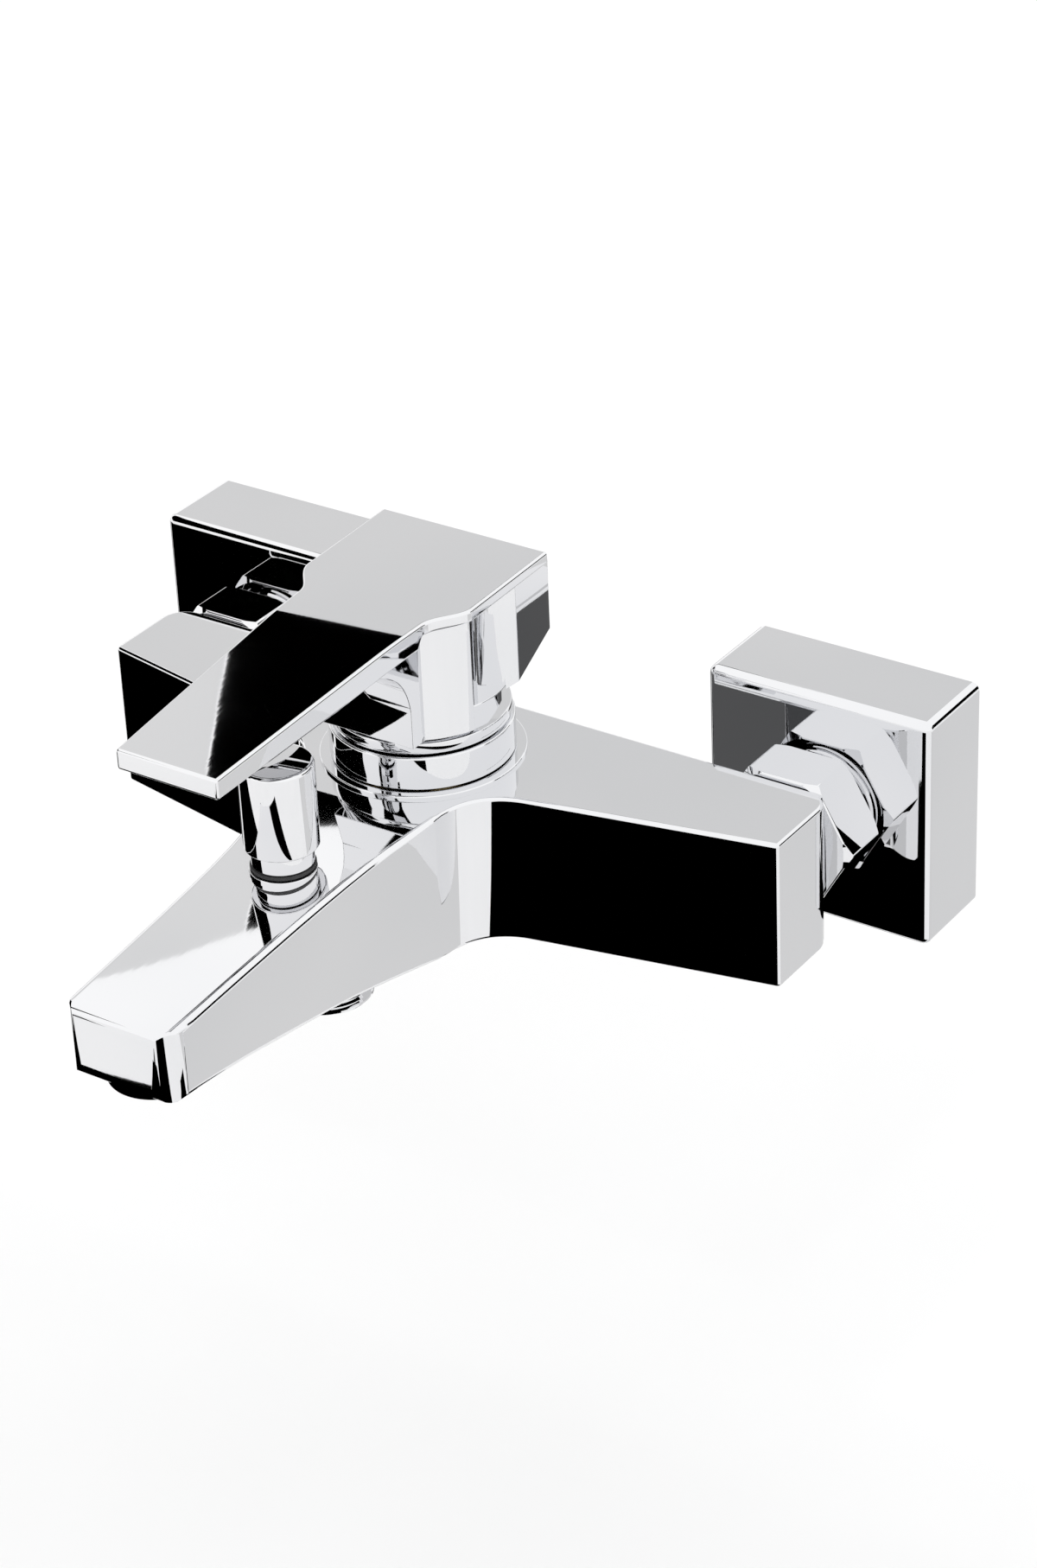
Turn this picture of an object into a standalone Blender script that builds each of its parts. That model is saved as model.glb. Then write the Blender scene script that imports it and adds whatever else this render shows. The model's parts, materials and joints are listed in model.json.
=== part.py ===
"""Wall mounted single-lever bath mixer.

Frame: metres, +Z up, the wall is the plane y = 0 and the user stands on the -Y side.
The origin lies in the wall plane, midway between the two inlet unions.
Run with: blender --background --python part.py
"""
import bmesh
import bpy
from math import acos, asin, cos, degrees, pi, radians, sin
from mathutils import Matrix, Vector

MM = 0.001
GAP = 0.3 * MM                      # room between two pieces that touch

# --- driving dimensions -------------------------------------------------------------
INLET_SPACING = 150 * MM            # centre to centre of the two wall inlets
INLET_X = INLET_SPACING / 2

BODY_TOP = 14.3 * MM                # flat top of the arms
BODY_BOTTOM = -21.1 * MM
BODY_BACK = -37.8 * MM              # back of the arms, behind it come the union nuts
ARM_HALF_LENGTH = 88.3 * MM
ARM_END_FRONT = -60.8 * MM
ARM_ROOT = Vector((31 * MM, -72 * MM))       # where the arm's front meets the spout's fillet
SPOUT_ROOT = Vector((19.6 * MM, -88 * MM))   # where the fillet meets the spout's side
BACK_EDGE_ROUND = 8 * MM            # round along the lower back edge of the arms
ARM_CORNER_ROUND = 6 * MM           # round of the arm's back corner, seen from above

# spout sections towards the tip: distance from the wall, half width, top, bottom
SPOUT_SECTIONS = (
    (101 * MM, 17.1 * MM, 12.5 * MM, -19.5 * MM),
    (114 * MM, 15.5 * MM, 10.8 * MM, -18.0 * MM),
    (130 * MM, 14.7 * MM, 9.6 * MM, -16.0 * MM),
    (150 * MM, 14.1 * MM, 8.0 * MM, -13.1 * MM),
    (165 * MM, 13.9 * MM, 6.3 * MM, -11.6 * MM),
    (174.6 * MM, 13.7 * MM, 5.3 * MM, -11.5 * MM),
)

AXIS_Y = -63.8 * MM                 # vertical axis of the cartridge
PIVOT_Z = 14 * MM                   # height of the pin that the lever tilts on
CHAMBER_R = 18 * MM
CHAMBER_FLOOR = -10.3 * MM
NUT_BORE_R = 19.1 * MM              # threaded mouth of the chamber
NUT_SHOULDER = 9 * MM
BOSS_R = 22.8 * MM
BOSS_TOP = 15.1 * MM

RING_R = 20.5 * MM
RING_TOP = 23.2 * MM
DOME_R = 19.8 * MM                  # straight collar of the dome cap
DOME_COLLAR_TOP = 26.4 * MM
DOME_SPHERE_R = 21 * MM             # ball part, centred on the tilt pin
DOME_HOLE_R = 13.5 * MM
DOME_WALL = 1.3 * MM
HANDLE_CAVITY_R = 21.6 * MM         # ball hollow under the lever, centred on the tilt pin

PORT_SPOTS = {                      # where water enters and leaves the cartridge's floor
    "hot": (-7 * MM, -58.5 * MM),
    "cold": (7 * MM, -58.5 * MM),
    "mixed": (0.0, -71.5 * MM),
}
PORT_R = 3.2 * MM

STEM_HALF = 3.8 * MM                # half the side of the square stem
STEM_TOP = 49.4 * MM
STEM_TIP_Z = 6 * MM
SCREW_Z = 46.5 * MM                 # height of the lever's set screw

HANDLE_BACK = -44.2 * MM
HANDLE_TIP = -150.3 * MM
HANDLE_BACK_TOP = 59.0 * MM
HANDLE_TIP_TOP = 53.1 * MM
HANDLE_HALF = 21.6 * MM             # half width of the square back part
BLADE_HALF = 16.0 * MM              # half width where the blade begins
TIP_HALF = 12.8 * MM
SHOULDER_START = -72.5 * MM
SHOULDER_END = -83.5 * MM
HUB_FRONT = -84.2 * MM
SKIRT_R = 20.3 * MM                 # round skirt of the lever, over the dome
SKIRT_LOW = 27.4 * MM
SKIRT_TOP = 33.2 * MM
PLATE_THICKNESS = 2.9 * MM          # over the hub
BLADE_THICKNESS = 5.6 * MM
TIP_THICKNESS = 4.7 * MM
NICHE_BACK = -57 * MM                # hollow between the square back and the round hub
NICHE_FRONT_ANGLE = 70              # degrees round the hub, from the front

DIVERTER_Y = -115.5 * MM
DIVERTER_BORE_R = 6.4 * MM
DIVERTER_SEAT = -11 * MM
DIVERTER_PAD_TOP = 11.4 * MM        # small flat on the sloping spout
KNOB_R = 8.15 * MM
KNOB_LOW = 16.8 * MM
KNOB_TOP = 36.8 * MM
DIVERTER_STEM_R = 2.8 * MM
OUTLET_Y = -104 * MM
AERATOR_Y = -161.5 * MM
AERATOR_BORE_R = 10.95 * MM
AERATOR_CEILING = -1.9 * MM
WATERWAY_R = 4.1 * MM               # waterways cast inside arms and spout

NUT_ACROSS_FLATS = 30 * MM
NUT_FRONT = BODY_BACK + 0.4 * MM
NUT_LENGTH = 13.2 * MM
INLET_SOCKET_R = 9.3 * MM           # where the tailpieces are pressed into the casting
UNION_R = 13.1 * MM                 # three-quarter inch end of the wall union
WALL_END_R = 10.4 * MM              # half inch end, inside the wall
WALL_END_DROP = 7 * MM              # eccentric offset of the wall end
WALL_END_DEPTH = 14 * MM

ESCUTCHEON_HALF = 27.7 * MM
ESCUTCHEON_DEPTH = 22.05 * MM
ESCUTCHEON_WALL = 1.5 * MM


# --- materials ------------------------------------------------------------------------
def make_material(name, colour, metallic, roughness):
    material = bpy.data.materials.new(name)
    material.use_nodes = True
    shader = material.node_tree.nodes["Principled BSDF"]
    shader.inputs["Base Color"].default_value = (*colour, 1.0)
    shader.inputs["Metallic"].default_value = metallic
    shader.inputs["Roughness"].default_value = roughness
    material.diffuse_color = (*colour, 1.0)
    return material


def make_materials():
    return {
        "chrome": make_material("chrome", (0.80, 0.80, 0.81), 1.0, 0.06),
        "brass": make_material("brass", (0.72, 0.55, 0.26), 1.0, 0.30),
        "steel": make_material("steel", (0.62, 0.62, 0.63), 1.0, 0.28),
        "white_plastic": make_material("white_plastic", (0.86, 0.86, 0.83), 0.0, 0.45),
        "grey_plastic": make_material("grey_plastic", (0.30, 0.31, 0.33), 0.0, 0.5),
        "ceramic": make_material("ceramic", (0.90, 0.89, 0.86), 0.0, 0.22),
        "rubber": make_material("rubber", (0.02, 0.02, 0.02), 0.0, 0.65),
        "indicator": make_material("indicator", (0.62, 0.06, 0.05), 0.0, 0.3),
    }


# --- building blocks --------------------------------------------------------------------
def clear_scene():
    for item in list(bpy.data.objects):
        bpy.data.objects.remove(item)


def add_object(name, bm, material=None, sharp_angle=32):
    bmesh.ops.recalc_face_normals(bm, faces=bm.faces)
    mesh = bpy.data.meshes.new(name)
    bm.to_mesh(mesh)
    bm.free()
    mesh.shade_smooth()
    mesh.set_sharp_from_angle(angle=radians(sharp_angle))
    if material:
        mesh.materials.append(material)
    item = bpy.data.objects.new(name, mesh)
    bpy.context.scene.collection.objects.link(item)
    return item


def add_axis_empty(name, place, parent=None):
    empty = bpy.data.objects.new(name, None)
    empty.empty_display_size = 10 * MM
    bpy.context.scene.collection.objects.link(empty)
    if parent:
        empty.parent = parent
        empty.matrix_parent_inverse = Matrix.Translation(parent.location).inverted()
    empty.location = place
    return empty


def ride_on(item, axis_empty, place):
    """Put the piece's origin on its joint's axis, without moving the piece."""
    item.data.transform(Matrix.Translation(-Vector(place)))
    item.location = Vector((0, 0, 0))
    item.parent = axis_empty


def turn_axis(axis):
    """Rotation that carries +Z onto the named axis."""
    if axis == "Z":
        return Matrix.Identity(4)
    if axis == "Y":
        return Matrix.Rotation(radians(-90), 4, "X")
    return Matrix.Rotation(radians(90), 4, "Y")


def turned(name, profile, material=None, centre=(0, 0, 0), axis="Z", steps=32):
    """Closed solid of revolution; profile is a closed loop of (radius, height)."""
    bm = bmesh.new()
    points = [bm.verts.new((radius, 0, height)) for radius, height in profile]
    edges = [bm.edges.new((points[i - 1], points[i])) for i in range(len(points))]
    bmesh.ops.spin(bm, geom=points + edges, cent=(0, 0, 0), axis=(0, 0, 1),
                   angle=2 * pi, steps=steps, use_merge=True)
    bmesh.ops.remove_doubles(bm, verts=bm.verts, dist=1e-6)
    bmesh.ops.dissolve_degenerate(bm, edges=bm.edges, dist=1e-7)
    bmesh.ops.transform(bm, matrix=Matrix.Translation(centre) @ turn_axis(axis), verts=bm.verts)
    return add_object(name, bm, material)


def rod_profile(radius, low, high):
    return ((0, low), (radius, low), (radius, high), (0, high))


def ring_profile(inner, outer, low, high):
    return ((inner, low), (outer, low), (outer, high), (inner, high))


def ring(name, inner, outer, low, high, material, centre=(0, 0, 0), axis="Z", steps=28):
    return turned(name, ring_profile(inner, outer, low, high), material, centre, axis, steps)


def prism(name, outline, low, high, material=None, axis="Z"):
    """Outline of (a, b) points extruded from low to high along the axis."""
    bm = bmesh.new()
    base = bm.faces.new([bm.verts.new((a, b, low)) for a, b in outline])
    top = bmesh.ops.extrude_face_region(bm, geom=[base])["geom"]
    moved = [v for v in top if isinstance(v, bmesh.types.BMVert)]
    bmesh.ops.translate(bm, vec=(0, 0, high - low), verts=moved)
    if axis == "X":                 # outline's (a, b) are then (y, z)
        turn = Matrix(((0, 0, 1, 0), (1, 0, 0, 0), (0, 1, 0, 0), (0, 0, 0, 1)))
        bmesh.ops.transform(bm, matrix=turn, verts=bm.verts)
    return add_object(name, bm, material)


def rod_between(name, start, end, radius, steps=24):
    """Round cutter from one point to another."""
    start, end = Vector(start), Vector(end)
    along = end - start
    bm = bmesh.new()
    bmesh.ops.create_cone(bm, cap_ends=True, segments=steps, radius1=radius, radius2=radius,
                          depth=along.length)
    turn = Vector((0, 0, 1)).rotation_difference(along).to_matrix().to_4x4()
    bmesh.ops.transform(bm, matrix=Matrix.Translation((start + end) / 2) @ turn, verts=bm.verts)
    return add_object(name, bm)


def block(name, low, high, material=None):
    bm = bmesh.new()
    bmesh.ops.create_cube(bm, size=1)
    size = Vector(high) - Vector(low)
    middle = (Vector(high) + Vector(low)) / 2
    bmesh.ops.scale(bm, vec=size, verts=bm.verts)
    bmesh.ops.translate(bm, vec=middle, verts=bm.verts)
    return add_object(name, bm, material)


def combine(item, operation, *tools, solver="EXACT"):
    for tool in tools:
        tool.hide_render = True
        tool.display_type = "WIRE"
        step = item.modifiers.new(operation.lower() + "_" + tool.name, "BOOLEAN")
        step.operation = operation
        step.solver = solver
        step.object = tool


def cut(item, *tools, solver="EXACT"):
    combine(item, "DIFFERENCE", *tools, solver=solver)


def soften(item, width, segments=2, angle=40):
    step = item.modifiers.new("soft_edges", "BEVEL")
    step.width = width
    step.segments = segments
    step.limit_method = "ANGLE"
    step.angle_limit = radians(angle)


def arc(centre, radius, start, end, steps):
    """Points of an arc, angles in degrees."""
    points = []
    for i in range(steps + 1):
        angle = radians(start + (end - start) * i / steps)
        points.append((centre[0] + radius * cos(angle), centre[1] + radius * sin(angle)))
    return points


def curve_through(start, pull, end, steps):
    """Quadratic curve between two points, drawn towards the pull point."""
    points = []
    for i in range(steps + 1):
        t = i / steps
        points.append(tuple((1 - t) ** 2 * start[k] + 2 * t * (1 - t) * pull[k] + t * t * end[k]
                            for k in range(2)))
    return points


def mirrored(points):
    return [(-x, y) for x, y in reversed(points)]


# --- body casting -------------------------------------------------------------------------
def arm_outline():
    """Right half of the arms seen from above, from the spout's side to the back."""
    fillet = curve_through(SPOUT_ROOT, (19.8 * MM, -75 * MM), ARM_ROOT, 8)
    front_corner = (ARM_HALF_LENGTH, ARM_END_FRONT)
    corner_centre = (ARM_HALF_LENGTH - ARM_CORNER_ROUND, BODY_BACK - ARM_CORNER_ROUND)
    return fillet + [front_corner] + arc(corner_centre, ARM_CORNER_ROUND, 0, 90, 6)


def casting_shell():
    """Arms and spout as one block: a top and a bottom skin joined by walls."""
    right = arm_outline()
    outline = right + mirrored(right)
    bm = bmesh.new()
    top = [bm.verts.new((x, y, BODY_TOP)) for x, y in outline]
    bottom = [bm.verts.new((x, y, BODY_BOTTOM)) for x, y in outline]
    bm.faces.new(top)
    bm.faces.new(list(reversed(bottom)))
    for i in range(len(outline) - 1):
        bm.faces.new((top[i], bottom[i], bottom[i + 1], top[i + 1]))
    section = [top[0], bottom[0], bottom[-1], top[-1]]
    for reach, half, high, low in SPOUT_SECTIONS:
        corners = ((half, high), (half, low), (-half, low), (-half, high))
        following = [bm.verts.new((x, -reach, z)) for x, z in corners]
        for i in range(4):
            bm.faces.new((section[i - 1], section[i], following[i], following[i - 1]))
        section = following
    bm.faces.new(section)
    return bm


def back_edge_cutter():
    """What the round along the arms' lower back edge takes away."""
    proud = 0.06 * MM               # the arc's ends stand just clear of both faces
    centre = (BODY_BACK - BACK_EDGE_ROUND + proud, BODY_BOTTOM + BACK_EDGE_ROUND - proud)
    beyond = 2 * MM
    outline = arc(centre, BACK_EDGE_ROUND, -90, 0, 7)
    outline += [(BODY_BACK + beyond, centre[1]), (BODY_BACK + beyond, BODY_BOTTOM - beyond),
                (centre[0], BODY_BOTTOM - beyond)]
    return prism("cut_back_edge", outline, -95 * MM, 95 * MM, axis="X")


def casting_cutters():
    """Every bore of the casting: cartridge chamber, inlets, waterway, valve and outlets."""
    axis = (0, AXIS_Y, 0)
    above = BOSS_TOP + MM
    chamber = turned("cut_chamber", ((0, CHAMBER_FLOOR), (CHAMBER_R, CHAMBER_FLOOR),
                                     (CHAMBER_R, NUT_SHOULDER), (NUT_BORE_R, NUT_SHOULDER),
                                     (NUT_BORE_R, above), (0, above)), None, axis, steps=40)
    cutters = [chamber]
    for water, (x, y) in PORT_SPOTS.items():
        port = turned("cut_port_" + water, rod_profile(PORT_R, -16.2 * MM, -9 * MM),
                      None, (x, y, 0), steps=20)
        cutters.append(port)
    for side in (-1, 1):
        socket = turned(f"cut_inlet_{side}", rod_profile(INLET_SOCKET_R, -53 * MM, -36 * MM),
                        None, (side * INLET_X, 0, 0), "Y", 32)
        gallery = rod_between(f"cut_gallery_{side}", (side * 76 * MM, -50 * MM, -2 * MM),
                              (side * 6.6 * MM, -58.5 * MM, -16.4 * MM), 3.6 * MM, 16)
        cutters += [socket, gallery]
    cutters.append(rod_between("cut_rising_waterway", (0, -69.5 * MM, -15.8 * MM),
                               (0, -98 * MM, -3.6 * MM), WATERWAY_R, 20))
    cutters.append(rod_between("cut_spout_waterway", (0, -95 * MM, -3.5 * MM),
                               (0, -157 * MM, -3.9 * MM), WATERWAY_R + 0.1 * MM, 18))
    cutters.append(turned("cut_diverter", rod_profile(DIVERTER_BORE_R, DIVERTER_SEAT, 13 * MM),
                          None, (0, DIVERTER_Y, 0), steps=32))
    cutters.append(turned("cut_shower_port", rod_profile(3 * MM, -14.6 * MM, -10 * MM),
                          None, (0, DIVERTER_Y, 0), steps=20))
    cutters.append(rod_between("cut_shower_way", (0, DIVERTER_Y - 1 * MM, -14.2 * MM),
                               (0, OUTLET_Y, -14.2 * MM), 2.4 * MM, 14))
    cutters.append(turned("cut_shower_outlet", rod_profile(7.3 * MM, -22 * MM, -11.8 * MM),
                          None, (0, OUTLET_Y, 0), steps=28))
    cutters.append(turned("cut_aerator", rod_profile(AERATOR_BORE_R, -15 * MM, AERATOR_CEILING),
                          None, (0, AERATOR_Y, 0), steps=32))
    return cutters


def make_body(mats):
    body = add_object("body_casting", casting_shell(), mats["chrome"])
    soften(body, 0.9 * MM)
    boss = turned("join_cartridge_boss", ((0, 12 * MM), (BOSS_R, 12 * MM),
                                          (BOSS_R, BOSS_TOP - 0.4 * MM),
                                          (BOSS_R - 0.4 * MM, BOSS_TOP), (0, BOSS_TOP)),
                  None, (0, AXIS_Y, 0), steps=48)
    outlet = turned("join_outlet_boss", rod_profile(10.9 * MM, -21.3 * MM, -16 * MM),
                    None, (0, OUTLET_Y, 0), steps=32)
    pad = turned("join_diverter_pad", rod_profile(7.4 * MM, 8 * MM, DIVERTER_PAD_TOP), None,
                 (0, DIVERTER_Y, 0), steps=32)
    combine(body, "UNION", boss, outlet, pad)
    cut(body, back_edge_cutter(), *casting_cutters(), solver="MANIFOLD")


# --- wall unions ----------------------------------------------------------------------------
def make_union_nut(name, x, mats):
    """Hexagonal nut, flat on top, with a lip that hooks behind the tailpiece's collar."""
    radius = NUT_ACROSS_FLATS / 2 / cos(radians(30))
    low, high = NUT_FRONT, NUT_FRONT + NUT_LENGTH
    nut = turned(name, rod_profile(radius, low, high), mats["chrome"], (x, 0, 0), "Y", steps=6)
    soften(nut, 0.6 * MM)
    lip_hole = turned("cut_lip_" + name, rod_profile(9.6 * MM, low - MM, high), None,
                      (x, 0, 0), "Y", 30)
    thread = turned("cut_thread_" + name, rod_profile(13.4 * MM, low + 1.6 * MM, high + MM),
                    None, (x, 0, 0), "Y", 30)
    cut(nut, lip_hole, thread)
    axis = add_axis_empty(name + "_axis", (x, low, 0))
    ride_on(nut, axis, (x, low, 0))


def make_tailpiece(name, x, mats):
    profile = ((6.5 * MM, -52.5 * MM), (9 * MM, -52.5 * MM), (9 * MM, -35.5 * MM),
               (12.6 * MM, -35.5 * MM), (12.6 * MM, -33.5 * MM), (6.5 * MM, -33.5 * MM))
    turned(name, profile, mats["brass"], (x, 0, 0), "Y", 30)


def make_wall_union(name, x, mats):
    """Eccentric union: wide end to the nut, narrow end lower down, into the wall."""
    union = turned(name, rod_profile(UNION_R, -30.9 * MM, -13 * MM), mats["chrome"],
                   (x, 0, 0), "Y", 30)
    shoulder = turned("join_shoulder_" + name, rod_profile(17.5 * MM, -18 * MM, -11 * MM), None,
                      (x, 0, -WALL_END_DROP / 2), "Y", 30)
    wall_end = turned("join_wall_end_" + name, rod_profile(WALL_END_R, -14 * MM, WALL_END_DEPTH),
                      None, (x, 0, -WALL_END_DROP), "Y", 32)
    combine(union, "UNION", shoulder, wall_end)
    front_bore = turned("cut_front_" + name, rod_profile(9 * MM, -32 * MM, -14.5 * MM), None,
                        (x, 0, 0), "Y", 28)
    wall_bore = turned("cut_wall_" + name, rod_profile(7.4 * MM, -16.5 * MM, 16 * MM), None,
                       (x, 0, -WALL_END_DROP), "Y", 28)
    cut(union, front_bore, wall_bore)


def make_escutcheon(name, x, mats):
    """Square box cover, open to the wall, with a round hole for the union."""
    half, wall = ESCUTCHEON_HALF, ESCUTCHEON_WALL
    cover = block(name, (x - half, -ESCUTCHEON_DEPTH, -half), (x + half, -0.05 * MM, half),
                  mats["chrome"])
    bm = bmesh.new()
    bm.from_mesh(cover.data)
    outer = [edge for edge in bm.edges if min(v.co.y for v in edge.verts) < -20 * MM]
    bmesh.ops.bevel(bm, geom=outer, offset=1.8 * MM, segments=3, profile=0.5, affect="EDGES")
    bm.to_mesh(cover.data)
    bm.free()
    inside = half - wall
    hollow = block("cut_hollow_" + name, (x - inside, wall - ESCUTCHEON_DEPTH, -inside),
                   (x + inside, 2 * MM, inside))
    hole = turned("cut_hole_" + name, rod_profile(13.6 * MM, -24 * MM, -18 * MM), None,
                  (x, 0, 0), "Y", 30)
    cut(cover, hollow, hole)


def make_inlet(side, mats):
    label = "left" if side < 0 else "right"
    x = side * INLET_X
    make_tailpiece("inlet_tailpiece_" + label, x, mats)
    make_union_nut("union_nut_" + label, x, mats)
    ring("union_gasket_" + label, 7 * MM, 11.5 * MM, -33.2 * MM, -31.2 * MM, mats["rubber"],
         (x, 0, 0), "Y", 32)
    make_wall_union("wall_union_" + label, x, mats)
    make_escutcheon("escutcheon_" + label, x, mats)


# --- cartridge --------------------------------------------------------------------------------
def drill_ports(disc, low, high):
    for water, (x, y) in PORT_SPOTS.items():
        hole = turned(f"cut_{disc.name}_{water}", rod_profile(PORT_R, low, high), None,
                      (x, y, 0), steps=20)
        cut(disc, hole)


def make_fixed_cartridge(mats):
    axis = (0, AXIS_Y, 0)
    base = turned("cartridge_base", rod_profile(17.5 * MM, -8.4 * MM, -4.2 * MM),
                  mats["white_plastic"], axis)
    drill_ports(base, -9 * MM, -4 * MM)
    housing = ((15.5 * MM, -3.9 * MM), (17.5 * MM, -3.9 * MM), (17.5 * MM, 8.7 * MM),
               (14 * MM, 8.7 * MM), (14 * MM, 20.6 * MM), (12.3 * MM, 20.6 * MM),
               (12.3 * MM, 7.1 * MM), (15.5 * MM, 7.1 * MM))
    turned("cartridge_housing", housing, mats["white_plastic"], axis)
    lower_disc = turned("fixed_ceramic_disc", rod_profile(15.1 * MM, -3.9 * MM, 0), mats["ceramic"],
                        axis)
    drill_ports(lower_disc, -5 * MM, MM)
    for water, (x, y) in PORT_SPOTS.items():
        ring("port_seal_" + water, PORT_R, 4.8 * MM, -10 * MM, -8.7 * MM, mats["rubber"],
             (x, y, 0), steps=24)


def make_moving_cartridge(mats, swivel, slide):
    axis = (0, AXIS_Y, 0)
    upper = turned("moving_ceramic_disc", ((0, 1.8 * MM), (7 * MM, 1.8 * MM), (7 * MM, GAP),
                                           (11 * MM, GAP), (11 * MM, 3.3 * MM), (0, 3.3 * MM)),
                   mats["ceramic"], axis, steps=32)
    carrier = ring("disc_carrier", 2.6 * MM, 11 * MM, 3.6 * MM, 6.8 * MM, mats["grey_plastic"],
                   axis, steps=32)
    for piece in (upper, carrier):
        ride_on(piece, slide, axis)
    rotor = turned("cartridge_rotor", rod_profile(12 * MM, 7.4 * MM, 20.3 * MM),
                   mats["grey_plastic"], axis, steps=32)
    slot = block("cut_rotor_slot", (-4.4 * MM, AXIS_Y - 8.6 * MM, 6 * MM),
                 (4.4 * MM, AXIS_Y + 8.6 * MM, 22 * MM))
    pin_hole = turned("cut_rotor_pin", rod_profile(1.8 * MM, -14 * MM, 14 * MM), None,
                      (0, AXIS_Y, PIVOT_Z), "X", 16)
    cut(rotor, slot, pin_hole)
    pin = turned("stem_pin", rod_profile(1.5 * MM, -11 * MM, 11 * MM), mats["steel"],
                 (0, AXIS_Y, PIVOT_Z), "X", 20)
    for piece in (rotor, pin):
        ride_on(piece, swivel, (0, AXIS_Y, PIVOT_Z))


def make_stem(mats, tilt):
    """Square stem with a ball tip that drives the upper disc's carrier."""
    half = STEM_HALF
    stem = block("cartridge_stem", (-half, AXIS_Y - half, 9.5 * MM), (half, AXIS_Y + half, STEM_TOP),
                 mats["steel"])
    soften(stem, 0.5 * MM, 1)
    tip_r = 2.1 * MM
    ball = arc((0, STEM_TIP_Z), tip_r, -90, 30, 6)
    tip = turned("join_stem_tip", [(max(r, 0), z) for r, z in ball] + [(1.8 * MM, 10.5 * MM),
                                                                     (0, 10.5 * MM)],
                 None, (0, AXIS_Y, 0), steps=20)
    combine(stem, "UNION", tip)
    cut(stem, turned("cut_stem_pin", rod_profile(1.8 * MM, -6 * MM, 6 * MM), None,
                     (0, AXIS_Y, PIVOT_Z), "X", 16))
    ride_on(stem, tilt, (0, AXIS_Y, PIVOT_Z))


def make_retaining_nut(mats):
    """Ring nut that clamps the cartridge: round threaded skirt, hexagon above it."""
    nut = turned("cartridge_retaining_nut", rod_profile(18.8 * MM, 9.3 * MM, 15 * MM),
                 mats["brass"], (0, AXIS_Y, 0))
    corner = 16.5 * MM / cos(radians(30))
    hexagon = [(x, y + AXIS_Y) for x, y in arc((0, 0), corner, 0, 300, 5)]
    head = prism("join_nut_hexagon", hexagon, 14 * MM, 20 * MM)
    combine(nut, "UNION", head)
    cut(nut, turned("cut_nut_bore", rod_profile(14.3 * MM, 8 * MM, 21 * MM), None,
                    (0, AXIS_Y, 0)))


def hole_angle(radius):
    """Angle above the horizon at which a ball of this radius meets the dome's hole."""
    return degrees(acos(DOME_HOLE_R / radius))


def make_covers(mats):
    axis = (0, AXIS_Y, 0)
    cover = ((19.4 * MM, 15.4 * MM), (RING_R, 15.4 * MM), (RING_R, RING_TOP - 0.4 * MM),
             (RING_R - 0.4 * MM, RING_TOP), (16.2 * MM, RING_TOP), (16.2 * MM, 21.6 * MM),
             (19.4 * MM, 21.6 * MM))
    turned("cover_ring", cover, mats["chrome"], axis, steps=48)
    inner_r = DOME_SPHERE_R - DOME_WALL
    low = RING_TOP + 0.4 * MM
    outer_start = degrees(asin((DOME_COLLAR_TOP - PIVOT_Z) / DOME_SPHERE_R))
    inner_start = degrees(asin((low - PIVOT_Z) / inner_r))
    dome = [(DOME_R - 0.3 * MM, low), (DOME_R, low + 0.3 * MM),
            (DOME_R, DOME_COLLAR_TOP - 0.3 * MM), (DOME_R - 0.3 * MM, DOME_COLLAR_TOP)]
    dome += arc((0, PIVOT_Z), DOME_SPHERE_R, outer_start, hole_angle(DOME_SPHERE_R), 2)
    dome += arc((0, PIVOT_Z), inner_r, hole_angle(inner_r), inner_start, 2)
    turned("dome_cap", dome, mats["chrome"], axis, steps=48)


# --- lever ----------------------------------------------------------------------------------------
def lever_top(y):
    """Height of the lever's flat, gently sloping top."""
    share = (y - HANDLE_BACK) / (HANDLE_TIP - HANDLE_BACK)
    return HANDLE_BACK_TOP + share * (HANDLE_TIP_TOP - HANDLE_BACK_TOP)


def lever_half_width(y):
    if y > SHOULDER_START:
        return HANDLE_HALF
    if y > SHOULDER_END:
        share = (SHOULDER_START - y) / (SHOULDER_START - SHOULDER_END)
        ease = (1 - cos(pi * share)) / 2
        return HANDLE_HALF + ease * (BLADE_HALF - HANDLE_HALF)
    share = (SHOULDER_END - y) / (SHOULDER_END - HANDLE_TIP)
    return BLADE_HALF + share * (TIP_HALF - BLADE_HALF)


def make_lever_plate(mats):
    """Thin over the hub, thicker in the blade, square at the tip."""
    shoulder = [SHOULDER_START + (SHOULDER_END - SHOULDER_START) * i / 6 for i in range(7)]
    stations = [(y, PLATE_THICKNESS) for y in [HANDLE_BACK] + shoulder]
    stations += [(HUB_FRONT - MM, BLADE_THICKNESS), (-112 * MM, BLADE_THICKNESS),
                 (HANDLE_TIP, TIP_THICKNESS)]
    bm = bmesh.new()
    section = None
    for y, depth in stations:
        half, high = lever_half_width(y), lever_top(y)
        corners = ((half, high), (half, high - depth), (-half, high - depth), (-half, high))
        following = [bm.verts.new((x, y, z)) for x, z in corners]
        if section:
            for i in range(4):
                bm.faces.new((section[i - 1], section[i], following[i], following[i - 1]))
        else:
            bm.faces.new(following)
        section = following
    bm.faces.new(section)
    plate = add_object("handle_lever", bm, mats["chrome"])
    soften(plate, 0.6 * MM)
    return plate


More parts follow.
